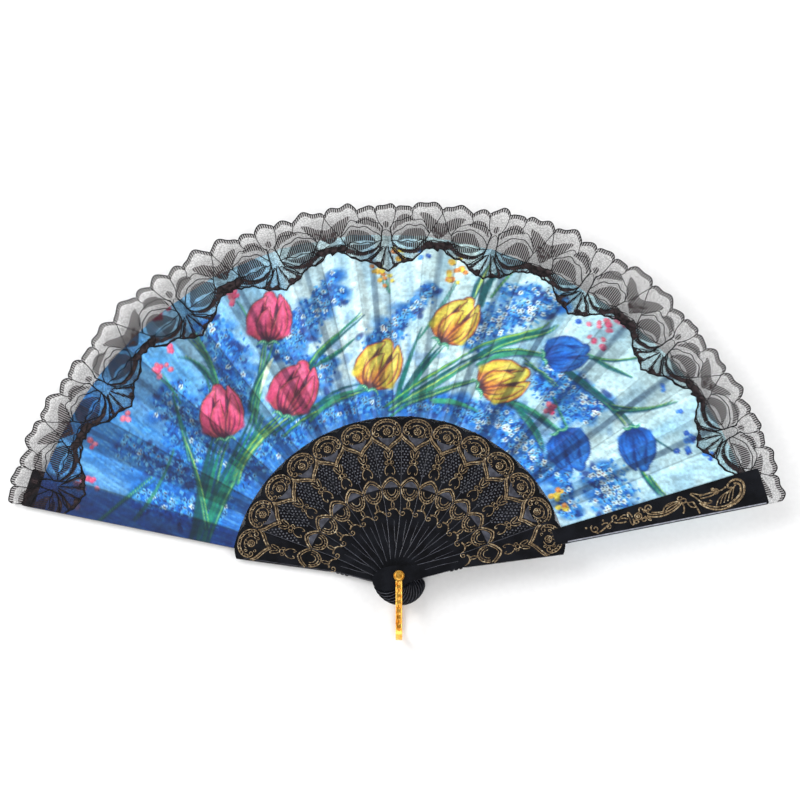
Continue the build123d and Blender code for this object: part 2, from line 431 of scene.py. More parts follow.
def cloud(x, y, size, seed):
    # smooth random field from 0 to 1, with bumps about that many mm across
    x, y = x / size, y / size
    ix, iy = np.floor(x), np.floor(y)
    fx, fy = smooth(x - ix), smooth(y - iy)

    def corner(a, b):
        value = np.sin(a * 127.1 + b * 311.7 + seed * 74.7) * 43758.5453
        return value - np.floor(value)

    low = corner(ix, iy) * (1 - fx) + corner(ix + 1, iy) * fx
    high = corner(ix, iy + 1) * (1 - fx) + corner(ix + 1, iy + 1) * fx
    return low * (1 - fy) + high * fy


leaf = {
    "cell": 0.8,  # mm between the points that carry the print
    "thick": 0.1,
    "dye": (0.91, 0.975, 0.95),  # share of red, green and blue that the cloth gives back
    "bands": 4,  # a free facet is cut into bands, because its fold is wider further out
    "bar": (2.0, 1.6, 200),  # mm: half width of the painted shade of a black strip behind the cloth, near and far, and its end
    "barShade": (0.3, 0.27, 0.23),  # share of red, green and blue taken off as painted shade over a strip, over the guard, in a crease
    "guardShade": (0.63, 0.41, 0.22),
    "creaseShade": 0.16,
}


def circleEdge(r):
    return lambda angle: r


def leafEdge(angle):
    return fan["leafOuter"] - fan["leafLoss"] * float(smooth((125 - angle) / 75))


def buildLeaf():
    pieces = []
    ratio = (fan["leafOuter"] / fan["leafInner"]) ** (1 / leaf["bands"])
    for i in range(facetCount):
        rings = [fan["leafInner"], fan["leafOuter"]]
        if i % 2:
            rings = [fan["leafInner"] * ratio ** n for n in range(leaf["bands"] + 1)]
        for n, (inner, outer) in enumerate(zip(rings, rings[1:])):
            name = facetName("leaf", i) + (f"_{n + 1}" if i % 2 else "")
            upper = leafEdge if outer == rings[-1] else circleEdge(outer)
            piece, spots = clothGrid(name, i, circleEdge(inner), upper, leaf["cell"], leaf["thick"],
                                     (satinFront, satinBack))
            pieces.append((piece, spots, i, inner, fan["leafOuter"] if outer == rings[-1] else outer))
    return pieces


def finishLeaf(pieces, canvas):
    start = 0
    for piece, spots, i, inner, outer in pieces:
        ink = canvas["ink"][start:start + len(spots)]
        start += len(spots)
        linear = np.where(ink < 0.04045, ink / 12.92, ((np.clip(ink, 0, 1) + 0.055) / 1.055) ** 2.4)
        # the print attribute carries the painted shade from shadeLeaf as well as the print
        paintPoints(piece, "print", linear)
        shell = piece.modifiers.new("thickness", "SOLIDIFY")
        shell.thickness = leaf["thick"] * mm
        shell.offset = -1
        shell.use_rim = False
        shell.material_offset = 1
        holdFacet(piece, i)
        if i % 2 == 0:
            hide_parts(f"leaf_panel_{i // 2:02d}")
        elif inner == fan["leafInner"]:
            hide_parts(f"leaf_fold_{(i + 1) // 2:02d}")


inks = {
    "pink": ("#ea4a7e", "#fb7aa6", "#a02a5a", "#4a1c3c", "#d0685a"),  # petal, light, shade, vein, edge
    "yellow": ("#eccf4a", "#f8ea80", "#dd7c46", "#54303c", "#de6a44"),
    "blue": ("#2068cc", "#3c86dc", "#15489c", "#12357f", "#1c52ac"),
    "spike": ("#1763c4", "#2a86e0", "#4aa6ee", "#1546a0", "#6fb8f0", "#2470d0"),
    "leafBlade": ("#1f8a6e", "#15706a", "#3c9a78", "#0f5a62"),
    "highlight": ("#b5cf4e", "#7fc07a", "#d2de74"),
    "berryPink": ("#ea4c7c", "#f2789a", "#e0607c"),
    "berryGold": ("#f3d24a", "#e8853c", "#f0b340"),
    "bud": ("#2a6fe0", "#1f57c8", "#3f8af0"),
}


def tulip(canvas, base, tip, width, family):
    petal, light, shade, vein, edge = (srgb(c) for c in inks[family])
    base, tip = np.array(base, float), np.array(tip, float)
    axis = (tip - base) * 0.95
    side = np.array([axis[1], -axis[0]]) / np.linalg.norm(axis) * width * 0.88

    def at(u, v):
        return base + axis * u + side * v

    def petalStroke(path, spread, foot):
        points = [at(u, v) for u, v in path]
        widths = np.array(spread) * width
        brush(canvas, points, widths + 0.5, vein, soft=0.8, amount=0.9)
        brush(canvas, points, widths + 0.05, edge, soft=0.7)
        brush(canvas, points, np.maximum(widths - 0.45, 0.1), shade, soft=0.9, ink2=petal)
        brush(canvas, points, np.maximum(widths * 0.8 - 0.5, 0.1), edge, soft=1.4, ink2=petal, amount=foot)
        brush(canvas, points[1:], np.maximum(widths[1:] * 0.55 - 0.3, 0.05), petal, soft=1.8, ink2=light,
              amount=0.85)

    bulge = [0.05, 0.2, 0.22, 0.17, 0.03]
    petalStroke([(0.25, 0.0), (0.6, 0.06), (0.98, 0.0)], [0.12, 0.3, 0.33, 0.28, 0.14], 0.4)
    petalStroke([(0.02, -0.05), (0.18, -0.5), (0.7, -0.42), (0.97, -0.1)], bulge, 0.6)
    petalStroke([(0.02, 0.05), (0.18, 0.5), (0.7, 0.42), (1.0, 0.3)], bulge, 0.6)
    for v in (-0.17, 0.22):
        brush(canvas, [at(0.36, v * 0.9), at(0.6, v * 1.1), at(0.84, v)], [0.5, 1.5, 0.2], vein, soft=0.9,
              amount=0.95)
    petalStroke([(0.0, 0.04), (0.15, 0.36), (0.5, 0.38), (0.84, 0.38)], [0.03, 0.14, 0.16, 0.12, 0.02], 0.7)
    petalStroke([(0.0, -0.02), (0.2, -0.18), (0.5, -0.14), (0.74, 0.0)], [0.04, 0.15, 0.18, 0.13, 0.02], 0.7)
    for v, u in ((-0.33, 0.5), (-0.2, 0.36), (-0.08, 0.44), (0.08, 0.34), (0.2, 0.42), (0.34, 0.4)):
        brush(canvas, [at(-0.02, v * 0.3), at(u * 0.5, v * 1.15), at(u, v * 1.1)], [0.8, 0.45, 0.1], vein,
              amount=0.8)
        brush(canvas, [at(0.1, v * 0.6), at(u * 0.8, v * 1.25), at(u * 1.4, v * 1.0)], [0.4, 0.6, 0.1], shade,
              amount=0.4)
    dab(canvas, *at(0.03, 0), 3.4, 1.6, vein, turn=math.atan2(side[1], side[0]), amount=0.8, soft=1.2)
    for v in (-1, 1):
        # sepals
        sepal = [at(-0.08, 0.02 * v), at(0.0, 0.12 * v), at(-0.02, 0.24 * v), at(-0.1, 0.3 * v)]
        brush(canvas, sepal, [0.9, 1.0, 0.2], srgb("#1a7a70"), soft=0.7)
        brush(canvas, sepal, [0.3, 0.4, 0.1], srgb("#a8e0b4"), soft=0.6)


def spike(canvas, path, spread, count, pale, rand):
    # a flower spike: dark shadow dabs, a crowd of blue florets, and small pale flowers with dark eyes
    blues = [srgb(c) for c in inks["spike"]]
    line = bend(path, 60)
    along = np.gradient(line, axis=0)
    along /= np.linalg.norm(along, axis=1)[:, None]

    def somewhere(wide):
        n = min(int(rand.random() * 60), 59)
        off = max(-1.7, min(1.7, rand.gauss(0, 0.55))) * np.interp(n / 59, [0, 1], spread) * wide
        return line[n][0] - along[n][1] * off, line[n][1] + along[n][0] * off

    for _ in range(count // 3):
        x, y = somewhere(0.9)
        dab(canvas, x, y, 2.6 + rand.random() * 2.4, 2.2 + rand.random() * 1.6, blues[0], amount=0.55, soft=1.0)
    for _ in range(count // 9):
        x, y = somewhere(1.1)
        dab(canvas, x, y, 1.8 + rand.random() * 2.2, 1.7, srgb("#1c3276"), turn=rand.random() * 3, amount=0.75,
            soft=0.7)
    for _ in range(count * 2):
        x, y = somewhere(1.0)
        dab(canvas, x, y, 0.6 + rand.random() * 0.8, 0.5 + rand.random() * 0.6, rand.choice(blues),
            turn=rand.random() * 3, amount=0.85, soft=0.6)
    for _ in range(count // 3):
        x, y = somewhere(0.9)
        dab(canvas, x, y, 0.42, 0.42, srgb("#16224a"), amount=0.85, soft=0.8)
    for _ in range(int(count * (0.14 + 0.22 * pale))):
        x, y = somewhere(0.75)
        glow = srgb("#eef5fb") if rand.random() < 0.05 + pale * 0.75 else srgb("#6fb6ee")
        for n in range(5):
            a = n * 1.2566 + x
            dab(canvas, x + 0.95 * math.cos(a), y + 0.95 * math.sin(a), 0.62, 0.5, glow, turn=a, amount=0.85,
                soft=0.6)
        dab(canvas, x, y, 0.5, 0.5, srgb(rand.choice(("#3a1c28", "#7c2a2c", "#20264a"))), amount=0.95, soft=0.8)


def blade(canvas, path, width, rand, bright=0.5):
    # a leaf blade or stem: dark edge, teal body, and a yellow-green light down one side
    points = np.array(path, float)
    nudge = np.array([0.35, 0.45]) * width
    body = srgb(rand.choice(inks["leafBlade"]))
    brush(canvas, points - nudge * 1.3, [width * 0.6, width * 1.1, 0.2], srgb("#153a66"), amount=0.6, soft=1.0)
    brush(canvas, points, [width * 0.55, width, width * 0.7, 0.15], body, amount=0.9, soft=0.8)
    if rand.random() < bright:
        brush(canvas, points + nudge, [width * 0.1, width * 0.36, 0.1], srgb(rand.choice(inks["highlight"])),
              amount=0.85)


def berries(canvas, x, y, reach, count, colours, rand):
    for _ in range(count):
        a, d = rand.random() * 6.283, reach * rand.random() ** 0.6
        size = 1.25 + rand.random() * 0.85
        cx, cy = x + d * math.cos(a), y + d * math.sin(a)
        dab(canvas, cx, cy, size, size * 0.85, srgb(rand.choice(colours)), turn=a, soft=0.5)
        dab(canvas, cx - 0.3, cy + 0.4, size * 0.4, size * 0.3, srgb("#ffd5cf"), amount=0.35, soft=1.0)
        dab(canvas, cx + size * 0.7, cy - size * 0.6, 0.4, 0.4, srgb("#3a2140"), amount=0.6, soft=0.8)


def paintGround(canvas):
    x, y = canvas["x"], canvas["y"]
    angle, r = np.degrees(np.arctan2(y, x)), np.hypot(x, y)
    wander = angle + 16 * (cloud(x, y, 38, 1) - 0.5) + 7 * (cloud(x, y, 15, 2) - 0.5)
    stops = [
        (8, "#e2f0fa"), (22, "#bcdcf0"), (32, "#d2e5f1"), (46, "#c4dbea"), (60, "#b2d6ec"), (76, "#cfe4ef"),
        (96, "#dbe8f2"), (112, "#c9ddee"), (124, "#8fbde6"), (138, "#4d94d8"), (150, "#2f7aca"), (160, "#1e62b6"),
        (172, "#184c98"),
    ]
    for c in range(3):
        canvas["ink"][:, c] = np.interp(wander, [s[0] for s in stops], [srgb(s[1])[c] for s in stops])

    def glaze(amount, code):
        layInk(canvas, slice(None), amount, srgb(code))

    # washes: streaks that run out from the pivot, and a blue foot near the sticks
    streak = cloud(angle * 2.2, r * 0.12, 5, 3) * 0.6 + cloud(x, y, 9, 4) * 0.4
    wash = smooth((streak - 0.42) / 0.3) * 0.55
    glaze(wash * np.interp(angle, [10, 60, 120, 170], [0.75, 0.6, 0.7, 0.5]), "#86b9e6")
    lighten = smooth((cloud(angle * 1.6, r * 0.1, 6, 5) - 0.55) / 0.2) * 0.6
    glaze(lighten * np.interp(angle, [10, 60, 130, 170], [0.8, 0.7, 0.45, 0.15]), "#f1f6fa")
    nearSticks = np.interp(angle, [18, 34, 60, 150], [0.1, 0.6, 0.75, 0.8])
    foot = smooth((126 + 14 * (cloud(x, y, 12, 6) - 0.5) - r) / 22) * nearSticks
    glaze(foot, "#2f74cf")
    depth = smooth((cloud(x, y, 6, 7) - 0.62) / 0.2) * np.interp(angle, [20, 90, 120, 165], [0.25, 0.3, 0.5, 0.6])
    glaze(depth * smooth((168 - r) / 50 + 0.3), "#1f56b0")
    # brushed hairs of light and dark on the left
    hairs = cloud(angle * 3.1 + r * 0.25, r * 0.07, 1.0, 8)
    glaze(smooth((hairs - 0.6) / 0.3) * np.interp(angle, [100, 135, 168], [0, 0.4, 0.35]), "#8cc4ea")
    glaze(smooth((0.32 - hairs) / 0.3) * np.interp(angle, [100, 135, 168], [0, 0.3, 0.5]), "#173e84")


def paintPrint(canvas):
    rand = random.Random(11)
    paintGround(canvas)
    # spikes: path, half width at each end, florets, how pale
    spikes = [
        ([(-72, 132), (-56, 158), (-33, 172)], (13, 4), 190, 0.5),
        ([(-60, 150), (-48, 168), (-37, 184)], (6, 3), 50, 0.2),
        ([(-112, 153), (-98, 132), (-88, 100)], (9, 11), 210, 0.1),
        ([(-134, 114), (-124, 92), (-113, 66)], (9, 15), 240, 0.15),
        ([(-160, 80), (-130, 66), (-92, 46)], (6, 13), 230, 0.0),
        ([(-150, 50), (-125, 45), (-100, 36)], (7, 12), 200, 0.25),
        ([(-96, 62), (-75, 84), (-44, 98)], (11, 9), 300, 0.2),
        ([(-44, 98), (-15, 106), (30, 101)], (8, 6), 220, 0.1),
        ([(-52, 118), (-46, 124), (-40, 130)], (8, 6), 90, 0.3),
        ([(-17, 134), (0, 155), (21, 174)], (9, 3), 130, 0.7),
        ([(38, 140), (64, 158), (92, 163)], (12, 5), 210, 0.95),
        ([(60, 172), (80, 174), (98, 162)], (4, 3), 50, 0.8),
        ([(82, 124), (98, 112), (114, 95)], (10, 9), 190, 0.95), ([(50, 98), (68, 84), (84, 58)], (9, 8), 230, 0.9),
        ([(112, 64), (118, 52), (124, 38)], (9, 10), 150, 0.95), ([(90, 60), (94, 48), (97, 34)], (5, 5), 70, 0.5),
        ([(30, 101), (42, 96), (52, 90)], (6, 6), 90, 0.4), ([(78, 118), (92, 104), (100, 92)], (5, 7), 70, 0.2),
        ([(-110, 108), (-100, 122), (-98, 140)], (5, 4), 60, 0.1),
    ]
    for path, spread, count, pale in spikes:
        spike(canvas, path, spread, count, pale, rand)
    # stems and blades: path, half width, how many beside each other, how bright
    stems = [
        ([(-116, 20), (-108, 50), (-108, 66), (-101, 84)], 1.9, 4, 0.2),
        ([(-112, 24), (-100, 58), (-88, 76), (-80, 98)], 1.8, 4, 0.5),
        ([(-94, 57), (-90, 74), (-76, 88), (-67, 98)], 1.5, 3, 0.9),
        ([(-84, 92), (-82, 112), (-79, 128), (-77, 141)], 1.1, 3, 0.6),
        ([(-86, 100), (-84, 116), (-76, 128), (-73, 130)], 1.4, 2, 0.9),
        ([(-110, 30), (-116, 66), (-124, 84)], 1.1, 2, 0.7), ([(-104, 112), (-108, 130), (-121, 146)], 0.8, 4, 0.7),
        ([(-107, 112), (-112, 128), (-126, 132)], 0.7, 3, 0.6), ([(-54, 124), (-44, 138), (-22, 157)], 0.9, 3, 0.7),
        ([(-52, 126), (-40, 132), (-26, 142)], 1.3, 2, 0.6),
        ([(-70, 86), (-52, 100), (-34, 108), (-18, 112)], 1.4, 3, 0.6),
        ([(-52, 96), (-36, 112), (-20, 113)], 1.2, 2, 0.4), ([(-3, 98), (4, 122), (14, 150)], 2.2, 1, 0.6),
        ([(-2, 100), (10, 122), (24, 138)], 1.4, 3, 0.5),
        ([(-6, 98), (14, 112), (32, 124), (47, 132)], 1.4, 4, 0.8), ([(4, 102), (24, 112), (44, 116)], 1.2, 3, 0.8),
        ([(44, 128), (58, 136), (72, 134), (86, 131)], 1.5, 3, 0.6),
        ([(44, 131), (60, 144), (84, 142), (92, 150)], 1.6, 3, 0.9),
        ([(20, 104), (34, 106), (44, 98)], 1.2, 2, 0.1), ([(62, 104), (76, 100), (84, 90), (91, 84)], 1.4, 4, 0.5),
        ([(66, 102), (78, 88), (82, 74)], 1.5, 2, 0.1),
        ([(88, 128), (104, 114), (120, 104), (132, 88)], 1.4, 4, 0.6),
        ([(122, 98), (140, 96), (158, 103)], 0.9, 2, 1.0), ([(108, 131), (122, 126), (138, 129)], 0.8, 2, 1.0),
        ([(112, 130), (122, 122), (133, 118)], 0.7, 2, 0.6), ([(139, 62), (142, 54), (149, 46)], 1.3, 3, 0.9),
        ([(46, 166), (49, 176), (57, 188)], 2.6, 2, 0.7), ([(54, 168), (60, 176), (70, 186)], 0.8, 2, 0.9),
        ([(88, 105), (96, 92), (100, 78)], 0.6, 1, 1.0), ([(-178, 26), (-160, 44), (-140, 60)], 0.6, 3, 0.2),
        ([(-150, 34), (-136, 52), (-130, 76)], 0.5, 3, 0.2), ([(-130, 108), (-124, 90), (-118, 70)], 0.7, 2, 0.2),
        ([(12, 142), (24, 160), (34, 178)], 0.4, 2, 0.0), ([(-86, 150), (-90, 158), (-94, 166)], 0.5, 1, 0.2),
        ([(-137, 120), (-130, 112), (-126, 104)], 0.6, 2, 0.2), ([(-4, 172), (-8, 180), (-10, 184)], 0.5, 2, 0.9),
        ([(72, 128), (84, 120), (90, 112)], 0.8, 2, 0.9), ([(132, 88), (146, 82), (156, 72)], 0.7, 1, 0.1),
    ]
    for path, width, count, bright in stems:
        for n in range(count):
            shift = (n - (count - 1) / 2) * width * 1.7
            drift = [(px + shift * 0.8 + rand.gauss(0, 1.0), py - shift * 0.5 + rand.gauss(0, 1.0))
                     for px, py in path]
            blade(canvas, drift, width * (0.6 + 0.5 * rand.random()), rand, bright)
    brush(canvas, [(-80, 110), (-77, 124), (-73, 131)], [0.3, 1.5, 0.3], srgb("#eef2dc"), soft=0.8)
    for base, tip, width, family in [
        ((-76, 142), (-76, 171), 24, "pink"), ((-100, 84), (-105, 114), 23, "pink"),
        ((-66, 98), (-55, 128), 25, "pink"), ((-17, 113), (-6, 141), 24, "yellow"),
        ((25, 141), (42, 166), 23, "yellow"), ((47, 112), (74, 121), 24, "yellow"),
        ((85, 130), (109, 135), 20, "blue"), ((92, 84), (103, 63), 22, "blue"), ((133, 86), (139, 62), 19, "blue"),
    ]:
        tulip(canvas, base, tip, width, family)
    pinks, golds, buds = inks["berryPink"], inks["berryGold"], inks["bud"]
    for x, y, reach, count, colours in [
        (-137, 124, 5, 9, pinks), (-133, 138, 3, 4, pinks), (-97, 169, 5, 8, pinks), (-176, 60, 9, 11, pinks),
        (-183, 42, 3, 2, pinks), (-175, 80, 4, 3, pinks), (-158, 96, 3, 3, pinks), (-140, 160, 9, 8, pinks),
        (117, 146, 8, 10, pinks), (119, 133, 4, 4, pinks), (86, 99, 4, 6, pinks), (34, 185, 8, 14, golds),
        (-10, 183, 8, 12, golds), (-2, 196, 6, 7, golds), (89, 48, 4, 6, golds), (92, 40, 3, 4, golds),
        (164, 76, 8, 11, buds), (152, 111, 2, 2, buds), (161, 97, 2, 2, buds), (104, 152, 1, 1, buds),
        (15, 195, 4, 3, buds), (176, 68, 4, 4, buds), (126, 150, 6, 4, pinks),
    ]:
        berries(canvas, x, y, reach, count, colours, rand)


def shadeLeaf(canvas):
    # painted shade: grey bars where the black strips lie behind the cloth, and the turned creases a little darker
    x, y = canvas["x"], canvas["y"]
    angle, r = np.degrees(np.arctan2(y, x)), np.hypot(x, y)
    dark = np.ones((len(x), 3)) * leaf["dye"]
    near, far, end = leaf["bar"]
    for k in range(1, lastStick):
        off = np.abs(np.radians(angle - stickAngles[k])) * r
        half = np.interp(r, [96, end], [near, far])
        bar = np.clip((half - off) / 0.8 + 0.5, 0, 1) * (r < end)
        bar *= np.interp(angle, [55, 85], [1.3, 1])
        dark *= 1 - bar[:, None] * leaf["barShade"]
    # painted shade where the black guard lies behind the first panel
    dark *= 1 - smooth((angle - facetSpan(0)[1]) / 0.4)[:, None] * leaf["guardShade"]
    # painted shade along each crease
    edges = np.array([facetSpan(i)[1] for i in range(2 * lastStick)])
    crease = np.radians(np.abs(angle[:, None] - edges[None]).min(1)) * r
    dark *= 1 - leaf["creaseShade"] * np.clip(1 - crease / 0.9, 0, 1)[:, None]
    # painted shade and light: glued facets darker, most of all on the left, and free facets lighter, as the pleats
    # tilt away from and toward the light
    glued = (angle[:, None] < edges[None]).sum(1) % 2 == 0
    dark *= np.where(glued, np.interp(angle, [50, 80, 110, 140], [0.92, 0.96, 0.92, 0.76]), 1.05)[:, None]
    grain = 0.24 * (cloud(x, y, 1.3, 31) - 0.5) + 0.16 * (cloud(x * 0.4, y, 2.6, 32) - 0.5)
    # grain is the cloth's own speckle; the broad streaks added to it are painted shade of soft folds in the cloth
    grainAndFoldShade = grain + 0.14 * (cloud(angle * 0.9, r * 0.012, 1.0, 9) - 0.5)
    grainAndFoldShade += 0.08 * (cloud(angle * 2.3, r * 0.02, 1.0, 10) - 0.5)
    canvas["ink"] = np.clip(canvas["ink"] * dark * (1 + grainAndFoldShade[:, None]), 0, 1)


leafPieces = buildLeaf()
allSpots = np.concatenate([p[1] for p in leafPieces])
sweep = np.radians(allSpots[:, 0])
leafCanvas = newCanvas(allSpots[:, 1] * np.cos(sweep), allSpots[:, 1] * np.sin(sweep), 3)
paintPrint(leafCanvas)
shadeLeaf(leafCanvas)
finishLeaf(leafPieces, leafCanvas)
print("leaf painted:", len(allSpots), "points")


lace = {
    # degrees at which the bows sit; the net was pulled as it was sewn, so they are not quite even
    "bows": (182.0, 164.3, 146.4, 128.2, 110.9, 92.0, 74.6, 57.9, 41.2, 24.0, 7.0),
    # degrees, and mm that the net was pulled outward there
    "pull": ((12, -3), (22, 0.5), (34, 1), (44, 4.6), (52, 8), (72, 8.5), (80, 4), (106, 4), (132, 8), (144, 4.6),
             (170, 5)),
    "radius": 205.0,  # mm out from the pivot, where the bows' knots lie
    "half": 31.4,  # mm from a knot to the join with the next bow's motif
    "lift": 0.16,  # mm above the underside of the cloth
    "cord": 0.27,  # half thickness of the outlining thread
    "cell": 0.7,  # mm between the points that carry the stitches
    "top": 14,  # mm above the knots, where the outward pull is felt in full
}


def lacePlace(angle):
    # mm to the right of the nearest bow's knot, and which bow that is
    bows = np.array(lace["bows"])
    joins = (bows[:-1] + bows[1:]) / 2
    bow = (angle < joins[:, None] if np.ndim(angle) else angle < joins).sum(0)
    half = np.where(angle > bows[bow], bows[np.maximum(bow - 1, 0)] - bows[bow],
                    bows[bow] - bows[np.minimum(bow + 1, 10)]) / 2
    return (bows[bow] - angle) / half * lace["half"], bow


def pulled(angle):
    # mm outward
    return np.interp(angle, *zip(*lace["pull"]))


def outerEdge(angle):
    # scallops: one over the knot, a smaller one each side, and a wide one that meets the next repeat's
    s, bow = lacePlace(angle)
    s = abs(s)
    flare = float(pulled(angle))
    for low, high, foot, rise in ((-5.4, 5.4, 219.8, 4.6), (5.4, 14.6, 219.6, 3.2), (14.6, 31.5, 219.0, 5.8)):
        if low <= s <= high:
            wobble = 1 + 0.22 * math.sin(angle * 1.9 + bow)
            return foot + flare + rise * wobble * math.sin(math.pi * (s - low) / (high - low)) ** 0.45
    return 219.0 + flare


def innerEdge(angle):
    s, bow = lacePlace(angle)
    s = abs(s)
    stray = 1.2 * math.sin(angle * 1.3 + 2 * bow) * min(s / 12, 1)
    point = min(184.6 + 16 * (s / lace["half"]) ** 1.1, 198.6) + stray
    return point + 0.7 * abs(math.sin(math.pi * s / 5.2))


def workStitches(canvas):
    # ink is how much the net is filled: red for open rows of stitches, green for solid ones
    rows, dense, solid = np.array([1.0, 0, 0]), np.array([1.0, 0.62, 0]), np.array([1.0, 1, 0])
    canvas["ink"][:] = 0
    brush(canvas, [(6, -1.5), (13, 5.5), (21, 3.2), (23, -1)], [0.3, 2.6, 3.0, 1.2], rows, soft=0.9)
    brush(canvas, [(6, -1.6), (12, -5.8), (20, -4.5), (22.6, -1)], [0.3, 1.7, 1.8, 0.6], rows, soft=0.9)
    brush(canvas, [(3.8, 5.2), (7.5, 10.6), (12, 10.6), (15.6, 9.2)], [0.5, 1.9, 1.9, 0.4], rows, soft=0.8)
    brush(canvas, [(19, 12), (22.5, 10.4), (26, 5.6), (31.5, 6)], [0.6, 2.4, 2.8, 2.2], rows, soft=0.8)
    brush(canvas, [(25, 8.6), (28.5, 4.5), (31.5, 3)], [0.4, 2.2, 2.4], dense, amount=0.8)
    dab(canvas, 0, 8, 1.7, 1.5, rows)
    brush(canvas, [(3.4, -2.6), (8, -10.4), (17, -10.6), (25.5, -2.0)], [0.3, 1.2, 1.5, 1.6], dense, soft=0.6)
    brush(canvas, [(24, -3), (27.5, -4.4), (31.5, -3.2)], [1.6, 2.6, 2.4], solid, soft=0.6)
    brush(canvas, [(25, -8), (28, -9.6), (31.5, -9.0)], [0.6, 1.2, 1.4], dense, soft=0.6)
    brush(canvas, [(0.6, -4), (2, -11), (4.2, -17.5)], [0.3, 0.8, 1.0], rows, soft=0.7)
    brush(canvas, [(1.4, -4.4), (5.5, -9), (10.5, -14.4)], [0.2, 0.7, 1.0], dense, soft=0.7)
    brush(canvas, [(6, -17), (9, -16.4), (13, -13.5)], [0.6, 1.7, 1.0], dense, soft=0.7)
    dab(canvas, 5.4, -16.2, 2.2, 1.7, solid, soft=0.5)


def buildLace():
    pieces = []
    for i in range(facetCount):
        piece, spots = clothGrid(facetName("lace", i), i, innerEdge, outerEdge, lace["cell"], lace["lift"],
                                 (laceNet,))
        pieces.append((piece, spots, i))
    spots = np.concatenate([p[1] for p in pieces])
    angle, r = spots[:, 0], spots[:, 1]
    s, bow = lacePlace(angle)
    # hand and heat pull the net a little out of true
    sway = 1.4 * (cloud(s + 70 * bow, r, 9, 21) - 0.5)
    drop = 1.6 * (cloud(s + 70 * bow, r, 11, 22) - 0.5)
    rise = r - lace["radius"] + drop
    rise = np.where(rise > 0, rise / (1 + pulled(angle) / lace["top"]), rise)
    canvas = newCanvas(np.abs(s + sway), rise, 3)
    workStitches(canvas)
    fromTop = np.array([outerEdge(a) for a in angle]) - r
    fromFoot = r - np.array([innerEdge(a) for a in angle])
    layInk(canvas, slice(None), np.clip((2.7 - fromTop) / 0.8 + 0.5, 0, 1), np.array([1.0, 0.1, 0]))
    layInk(canvas, slice(None), np.clip((1.3 - fromFoot) / 0.6 + 0.5, 0, 1), np.array([1.0, 0.6, 0]))
    start = 0
    for piece, spots, i in pieces:
        paintPoints(piece, "stitch", canvas["ink"][start:start + len(spots)])
        start += len(spots)
    return pieces


def wires(name, runs, materials, sides=1, flatten=1.0):
    # one mesh of round wires: each run is a list of places in mm and of radii in mm
    curve = bpy.data.curves.new(name, "CURVE")
    curve.dimensions = "3D"
    curve.twist_mode = "Z_UP"
    curve.bevel_depth = mm
    curve.bevel_resolution = sides
    curve.use_fill_caps = True
    for places, radii in runs:
        spline = curve.splines.new("POLY")
        spline.points.add(len(places) - 1)
        for point, place, radius in zip(spline.points, places, radii):
            point.co = (place[0] * mm, place[1] * mm, place[2] * mm, 1)
            point.radius = radius
    holder = bpy.data.objects.new(name, curve)
    bm = bmesh.new()
    bm.from_mesh(bpy.data.meshes.new_from_object(holder))
    bpy.data.objects.remove(holder)
    bmesh.ops.recalc_face_normals(bm, faces=bm.faces)
    if flatten != 1:
        bmesh.ops.scale(bm, vec=(1, 1, flatten), verts=bm.verts)
    return finishMesh(name, bm, materials)


def cordPaths():
    # outlining threads in mm from the knot: drawn for the right half of a bow and mirrored
    half = [
        ([(2.6, 0.4), (8, 7.6), (19, 9.6), (25, 3.2)], 1.0),
        ([(2.6, -0.4), (6, -8.6), (18, -12.4), (25, 3.2)], 1.0),
        ([(2.0, 6.2), (3.4, 1), (2.6, -2), (4.4, -6.4)], 1.3),
        ([(2.4, -0.8), (9, -2.4), (17, -1.6), (31.5, -0.6)], 0.9),
        ([(2.0, 6.2), (6, 9.4), (10, 11), (14.8, 9.6)], 0.9), ([(2.4, 5.8), (5.4, 10), (5.0, 12), (5.4, 15)], 0.9),
        ([(14.8, 9.6), (19, 10.8), (23, 7.6), (25, 3.2)], 0.9), ([(13, 10.4), (15.4, 12), (14.6, 14.8)], 0.8),
        ([(25, 3.2), (28, 6), (29, 9), (31.5, 14)], 0.9), ([(3, -5.6), (9, -15), (16, -15), (26, -6)], 1.1),
        ([(0.4, -4), (2, -10), (5, -20)], 0.8), ([(1.8, -4.4), (8, -9), (14, -15)], 1.0),
        ([(0.2, 5.6), (2.4, 4.6), (2.2, 3.4)], 0.8), ([(26, -1), (28.4, -2.4), (27.4, -6.5), (31.5, -9.4)], 1.0),
        ([(20, -0.6), (24, -6.2), (31.5, -6)], 0.7),
    ]
    return [([(side * x, y) for x, y in path], thick) for path, thick in half for side in (1, -1)]


